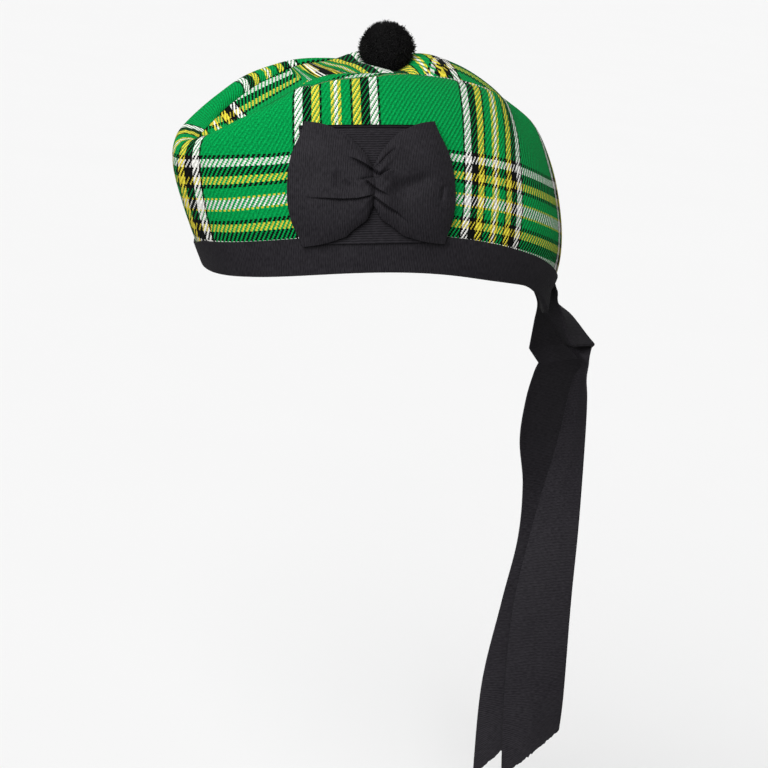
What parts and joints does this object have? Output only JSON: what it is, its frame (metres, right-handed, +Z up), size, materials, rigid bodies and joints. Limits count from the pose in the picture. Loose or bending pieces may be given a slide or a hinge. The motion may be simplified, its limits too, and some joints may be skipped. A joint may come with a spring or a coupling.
{
  "type": "glengarry cap",
  "caption": "Green tartan glengarry cap with a folded crown, black ribbon band whose ends hang as tails at the back, ribbon rosette on the left side and wool toorie on top.",
  "frame": {"origin": "middle of the head opening, at the height of the rim", "axes": "+X to the wearer's left, where the rosette is, +Y to the back, where the tails hang, +Z up"},
  "size_m": [0.164, 0.2876, 0.4552],
  "materials": {
    "tartan": "woven wool twill",
    "ribbon": "ribbed grosgrain ribbon, dull",
    "wool": "clipped wool yarn"
  },
  "bodies": {
    "root": {"left_side": "tartan", "right_side": "tartan", "crown": "tartan", "band": "ribbon", "tail_left": "ribbon", "tail_right": "ribbon", "rosette_backing": "ribbon", "rosette_bow": "ribbon", "toorie": "wool"}
  },
  "joints": []
}
